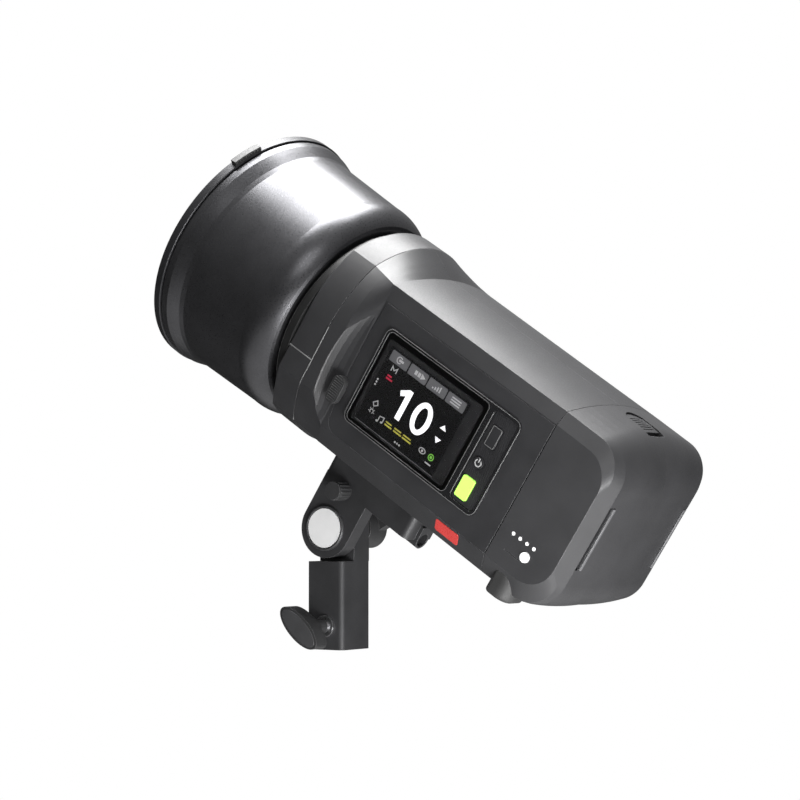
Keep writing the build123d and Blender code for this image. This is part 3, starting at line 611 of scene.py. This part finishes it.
# inset face of the lock knob, in row millimetres
ROW = Matrix.Scale(MM, 4)
WING_TURN = -math.radians(42)
KNOB_FACE = surface("knob_face", (0.050, 0.050, 0.052), 0.42, bump=0.3)
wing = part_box("lock_knob")
face_y = wing[0].y / MM
face_z = (wing[0].z + wing[1].z) / 2 / MM
face = Shape()
face.slab(oval(0, face_z, 13.9, 5.3, WING_TURN, 56), face_y - 0.35, face_y + 0.1)
face.finish("lock_knob_face", KNOB_FACE, "lock_knob", bevel=0.3, place=ROW)

# light lines along the collar's parting seams and round the mount ring's edge: painted highlights on these
# edges
SEAM_HIGHLIGHT = surface("painted_seam_highlight", (0.22, 0.22, 0.22), 0.4)
SPLIT_LOW, SPLIT_HIGH = -12.85, -12.15
collar_low, collar_high = span("collar_upper")
side_v = -collar_high.y
seam_u = collar_high.x + 0.15
# the light grey tone paints the highlight on the edges of the collar's seam
seam = Shape()
seam.slab([(collar_low.x + 0.5, SPLIT_LOW), (collar_high.x, SPLIT_LOW), (collar_high.x, SPLIT_HIGH),
           (collar_low.x + 0.5, SPLIT_HIGH)], side_v - 0.1, side_v + 0.3)
seam.tube([(seam_u, side_v, 8), (seam_u, side_v, -26), (seam_u, side_v + 10.8, -49.4)], 0.27)
seam.finish("collar_seam_highlight", SEAM_HIGHLIGHT, "head")

ring_low, ring_high = span("mount_ring")
edge_r = ring_high.z - 0.55
# light ring on the mount ring's front edge: a painted edge highlight
edge = Shape()
edge.lathe([(ring_low.x - 0.12, edge_r - 0.5), (ring_low.x - 0.12, edge_r), (ring_low.x + 0.2, edge_r + 0.2),
            (ring_low.x + 0.2, edge_r - 0.5)], (0, 0, 0), (1, 0, 0), 96)
edge.finish("mount_ring_edge", PAINTED_EDGE_HIGHLIGHT, "head")

# lips of the battery's finger slots, in a lighter tone: painted highlight on the slots' inner walls
SLOT_WALL_HIGHLIGHT = surface("painted_slot_highlight", (0.12, 0.12, 0.125), 0.4)
lips = Shape()
for side in (-1, 1):
    lips.block((157.25, side * 37.7, -2.3), (0.9, 1.9, 36.5), Matrix.Rotation(side * 0.08, 3, "Z"))
lips.finish("finger_slot_highlights", SLOT_WALL_HIGHLIGHT, "battery", bevel=0.3)

# ribs on the back of the front ring's tab
TAB_RIB_R = 74.4
TAB_RIB_STEP = math.radians(1.6)
tab_low, tab_high = span("rim_ring_tab")
tab_angle = math.atan2(-(tab_low.y + tab_high.y) / 2, (tab_low.z + tab_high.z) / 2)
tab_ribs = Shape()
for k in range(-4, 5):
    a = tab_angle + TAB_RIB_STEP * k
    tab_ribs.block((tab_high.x + 0.1, -TAB_RIB_R * math.sin(a), TAB_RIB_R * math.cos(a)), (0.5, 0.7, 1.7),
                   Matrix.Rotation(a, 3, "X"))
tab_ribs.finish("rim_tab_ribs", MATERIALS["lug_black"], "rim_ring", bevel=0.1)

# ---------- camera ----------
camera_data = bpy.data.cameras.new("camera")
camera_data.lens = 99.0
camera_data.sensor_width = 36.0
camera_data.clip_start = 0.05
camera_data.clip_end = 50.0
camera = bpy.data.objects.new("camera", camera_data)
bpy.context.scene.collection.objects.link(camera)
right = Vector((0.82608823, 0.5635408, 0.0))
up = Vector((0.02992198, -0.0438623, 0.99858939))
back = Vector((0.56274586, -0.82492295, -0.05309639))
turned = Matrix((right, up, back)).transposed().to_4x4()
camera.matrix_world = Matrix.Translation((0.7201, -0.9960, 0.0731)) @ turned
bpy.context.scene.camera = camera

# ---------- floor, background and light ----------
FLOOR_Z = -1.5
FLOOR_R = 2.6
bm = bmesh.new()
bmesh.ops.create_circle(bm, cap_ends=True, segments=96, radius=FLOOR_R)
mesh = bpy.data.meshes.new("floor")
bm.to_mesh(mesh)
bm.free()
floor = bpy.data.objects.new("floor", mesh)
floor.location = (0, 0, FLOOR_Z)
bpy.context.scene.collection.objects.link(floor)
floor_mat, _, _, floor_shader = new_material("floor")
floor_shader.inputs["Base Color"].default_value = (0.95, 0.95, 0.95, 1)
floor_shader.inputs["Roughness"].default_value = 0.8
mesh.materials.append(floor_mat)

world = bpy.data.worlds.new("studio")
world.use_nodes = True
bpy.context.scene.world = world
world_nodes, world_links = world.node_tree.nodes, world.node_tree.links
for node in list(world_nodes):
    world_nodes.remove(node)
out = world_nodes.new("ShaderNodeOutputWorld")
coord = world_nodes.new("ShaderNodeTexCoord")
split = world_nodes.new("ShaderNodeSeparateXYZ")
world_links.new(coord.outputs["Generated"], split.inputs["Vector"])
ramp = world_nodes.new("ShaderNodeValToRGB")
ramp.color_ramp.elements[0].position = 0.42
ramp.color_ramp.elements[0].color = (0.015, 0.015, 0.015, 1)
ramp.color_ramp.elements[1].position = 1.0
ramp.color_ramp.elements[1].color = (0.55, 0.55, 0.55, 1)
half = world_nodes.new("ShaderNodeMapRange")
half.inputs["From Min"].default_value = -1.0
half.inputs["From Max"].default_value = 1.0
world_links.new(split.outputs["Z"], half.inputs["Value"])
world_links.new(half.outputs["Result"], ramp.inputs["Fac"])
soft = world_nodes.new("ShaderNodeBackground")
soft.inputs["Strength"].default_value = 0.7
world_links.new(ramp.outputs["Color"], soft.inputs["Color"])
white = world_nodes.new("ShaderNodeBackground")
white.inputs["Color"].default_value = (1, 1, 1, 1)
white.inputs["Strength"].default_value = 1.0
path = world_nodes.new("ShaderNodeLightPath")
blend = world_nodes.new("ShaderNodeMixShader")
world_links.new(path.outputs["Is Camera Ray"], blend.inputs["Fac"])
world_links.new(soft.outputs["Background"], blend.inputs[1])
world_links.new(white.outputs["Background"], blend.inputs[2])
world_links.new(blend.outputs["Shader"], out.inputs["Surface"])

CENTRE = (CAD_BOX[0] + CAD_BOX[1]) / 2


def softbox(name, toward, distance, width, height, power):
    """Area light at a direction and distance from the object's middle, facing it."""
    data = bpy.data.lights.new(name, "AREA")
    data.shape = "RECTANGLE"
    data.size = width
    data.size_y = height
    data.energy = power
    lamp = bpy.data.objects.new(name, data)
    direction = Vector(toward).normalized()
    lamp.location = CENTRE + direction * distance
    lamp.rotation_mode = "QUATERNION"
    lamp.rotation_quaternion = (-direction).to_track_quat("-Z", "Y")
    lamp.visible_camera = False
    bpy.context.scene.collection.objects.link(lamp)


softbox("overhead", (-0.10, 0.13, 1.0), 1.2, 1.05, 0.95, 58.0)
softbox("side_fill", (0.75, -1.0, 0.45), 1.6, 0.7, 0.7, 5.0)
softbox("low_right", (0.66, -0.45, -0.6), 0.6, 0.4, 0.22, 5.0)

bpy.context.scene.view_settings.view_transform = "Standard"
